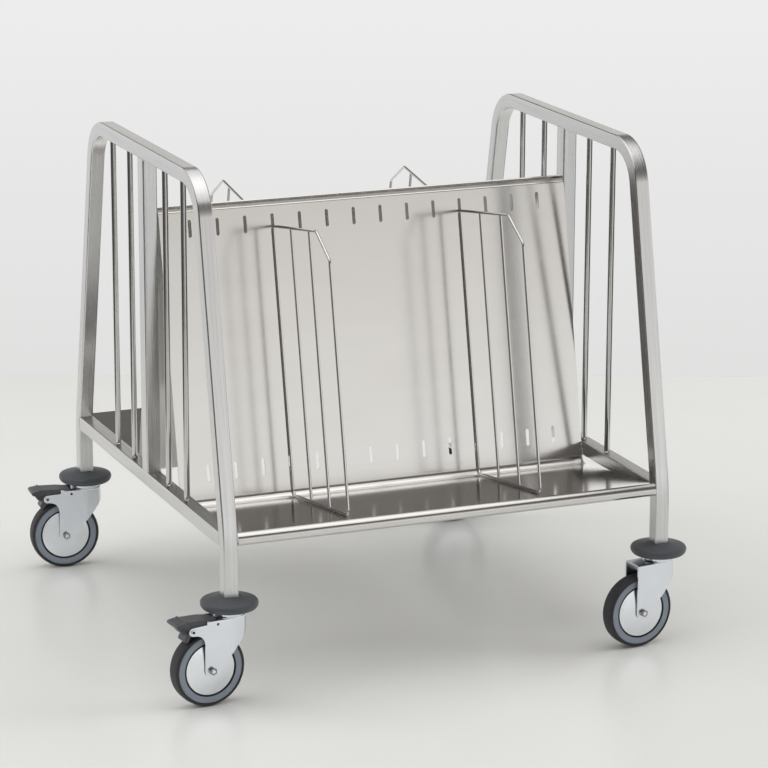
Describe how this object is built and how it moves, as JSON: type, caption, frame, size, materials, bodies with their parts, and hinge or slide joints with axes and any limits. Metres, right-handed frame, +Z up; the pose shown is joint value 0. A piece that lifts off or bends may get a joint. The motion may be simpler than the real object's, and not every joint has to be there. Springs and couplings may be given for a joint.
{
  "type": "plate trolley",
  "caption": "Trolley with leaning plate racks back to back between tubular side frames, wire dividers hooked into slots, and swivel castors with bumper discs and foot brakes.",
  "frame": {"origin": "on the floor, under the middle of the whole trolley with its castors as pictured", "axes": "+Z up, +X towards the right-hand side frame, -Y towards the front rack"},
  "size_m": [0.9275, 0.8696, 0.85],
  "materials": {
    "stainless_tube": "fine brushed grain along the tubes",
    "stainless_sheet": "bright, nearly mirror sheet",
    "stainless_wire": "bright drawn wire",
    "zinc_plate": "bright zinc plating",
    "bumper_rubber": "matt grey rubber",
    "rim_plastic": "satin blue-grey moulding",
    "tyre_rubber": "dark grey tread",
    "pedal_plastic": "black moulding"
  },
  "bodies": {
    "frame": {"side_frame_left": "stainless_tube", "side_rail_left": "stainless_tube", "centre_post_left": "stainless_tube", "guard_rod_left_1": "stainless_tube", "guard_rod_left_2": "stainless_tube", "guard_rod_left_3": "stainless_tube", "guard_rod_left_4": "stainless_tube", "side_frame_right": "stainless_tube", "side_rail_right": "stainless_tube", "centre_post_right": "stainless_tube", "guard_rod_right_1": "stainless_tube", "guard_rod_right_2": "stainless_tube", "guard_rod_right_3": "stainless_tube", "guard_rod_right_4": "stainless_tube", "plate_rack_front": "stainless_sheet", "plate_rack_rear": "stainless_sheet", "bumper_front_left": "bumper_rubber", "stem_front_left": "zinc_plate", "bumper_front_right": "bumper_rubber", "stem_front_right": "zinc_plate", "bumper_rear_left": "bumper_rubber", "stem_rear_left": "zinc_plate", "bumper_rear_right": "bumper_rubber", "stem_rear_right": "zinc_plate"},
    "divider_front_left": {"divider_front_left": "stainless_wire"},
    "divider_front_right": {"divider_front_right": "stainless_wire"},
    "divider_rear_left": {"divider_rear_left": "stainless_wire"},
    "divider_rear_right": {"divider_rear_right": "stainless_wire"},
    "swivel_front_left": {"fork_front_left": "zinc_plate", "axle_front_left": "zinc_plate", "brake_pin_front_left": "zinc_plate"},
    "wheel_front_left": {"rim_front_left": "rim_plastic", "tyre_front_left": "tyre_rubber", "guard_outer_front_left": "zinc_plate", "guard_inner_front_left": "zinc_plate"},
    "pedal_front_left": {"brake_pedal_front_left": "pedal_plastic"},
    "swivel_front_right": {"fork_front_right": "zinc_plate", "axle_front_right": "zinc_plate"},
    "wheel_front_right": {"rim_front_right": "rim_plastic", "tyre_front_right": "tyre_rubber", "guard_outer_front_right": "zinc_plate", "guard_inner_front_right": "zinc_plate"},
    "swivel_rear_left": {"fork_rear_left": "zinc_plate", "axle_rear_left": "zinc_plate", "brake_pin_rear_left": "zinc_plate"},
    "wheel_rear_left": {"rim_rear_left": "rim_plastic", "tyre_rear_left": "tyre_rubber", "guard_outer_rear_left": "zinc_plate", "guard_inner_rear_left": "zinc_plate"},
    "pedal_rear_left": {"brake_pedal_rear_left": "pedal_plastic"},
    "swivel_rear_right": {"fork_rear_right": "zinc_plate", "axle_rear_right": "zinc_plate"},
    "wheel_rear_right": {"rim_rear_right": "rim_plastic", "tyre_rear_right": "tyre_rubber", "guard_outer_rear_right": "zinc_plate", "guard_inner_rear_right": "zinc_plate"}
  },
  "joints": [
    {"name": "divider_front_left_lift", "type": "slide", "parent": "frame", "child": "divider_front_left", "axis": [0, 0.1994, 0.9799], "range_m": [0, 0.018]},
    {"name": "divider_front_right_lift", "type": "slide", "parent": "frame", "child": "divider_front_right", "axis": [0, 0.1994, 0.9799], "range_m": [0, 0.018]},
    {"name": "divider_rear_left_lift", "type": "slide", "parent": "frame", "child": "divider_rear_left", "axis": [0, -0.1994, 0.9799], "range_m": [0, 0.018]},
    {"name": "divider_rear_right_lift", "type": "slide", "parent": "frame", "child": "divider_rear_right", "axis": [0, -0.1994, 0.9799], "range_m": [0, 0.018]},
    {"name": "swivel_front_left_turn", "type": "hinge", "parent": "frame", "child": "swivel_front_left", "pos_m": [-0.36145, -0.38676, 0.148], "axis": [0, 0, 1], "continuous": true},
    {"name": "wheel_front_left_spin", "type": "hinge", "parent": "swivel_front_left", "child": "wheel_front_left", "pos_m": [-0.40214, -0.39176, 0.0625], "axis": [-0.1219, 0.9925, 0], "continuous": true},
    {"name": "pedal_front_left_press", "type": "hinge", "parent": "swivel_front_left", "child": "pedal_front_left", "pos_m": [-0.43539, -0.39584, 0.1332], "axis": [0.1219, -0.9925, 0], "range_deg": [0, 10]},
    {"name": "swivel_front_right_turn", "type": "hinge", "parent": "frame", "child": "swivel_front_right", "pos_m": [0.41356, -0.38676, 0.148], "axis": [0, 0, 1], "continuous": true},
    {"name": "wheel_front_right_spin", "type": "hinge", "parent": "swivel_front_right", "child": "wheel_front_right", "pos_m": [0.37286, -0.39176, 0.0625], "axis": [-0.1219, 0.9925, 0], "continuous": true},
    {"name": "swivel_rear_left_turn", "type": "hinge", "parent": "frame", "child": "swivel_rear_left", "pos_m": [-0.36145, 0.38824, 0.148], "axis": [0, 0, 1], "continuous": true},
    {"name": "wheel_rear_left_spin", "type": "hinge", "parent": "swivel_rear_left", "child": "wheel_rear_left", "pos_m": [-0.40229, 0.39181, 0.0625], "axis": [0.0872, 0.9962, 0], "continuous": true},
    {"name": "pedal_rear_left_press", "type": "hinge", "parent": "swivel_rear_left", "child": "pedal_rear_left", "pos_m": [-0.43566, 0.39473, 0.1332], "axis": [-0.0872, -0.9962, 0], "range_deg": [0, 10]},
    {"name": "swivel_rear_right_turn", "type": "hinge", "parent": "frame", "child": "swivel_rear_right", "pos_m": [0.41356, 0.38824, 0.148], "axis": [0, 0, 1], "continuous": true},
    {"name": "wheel_rear_right_spin", "type": "hinge", "parent": "swivel_rear_right", "child": "wheel_rear_right", "pos_m": [0.37258, 0.38681, 0.0625], "axis": [-0.0349, 0.9994, 0], "continuous": true}
  ]
}
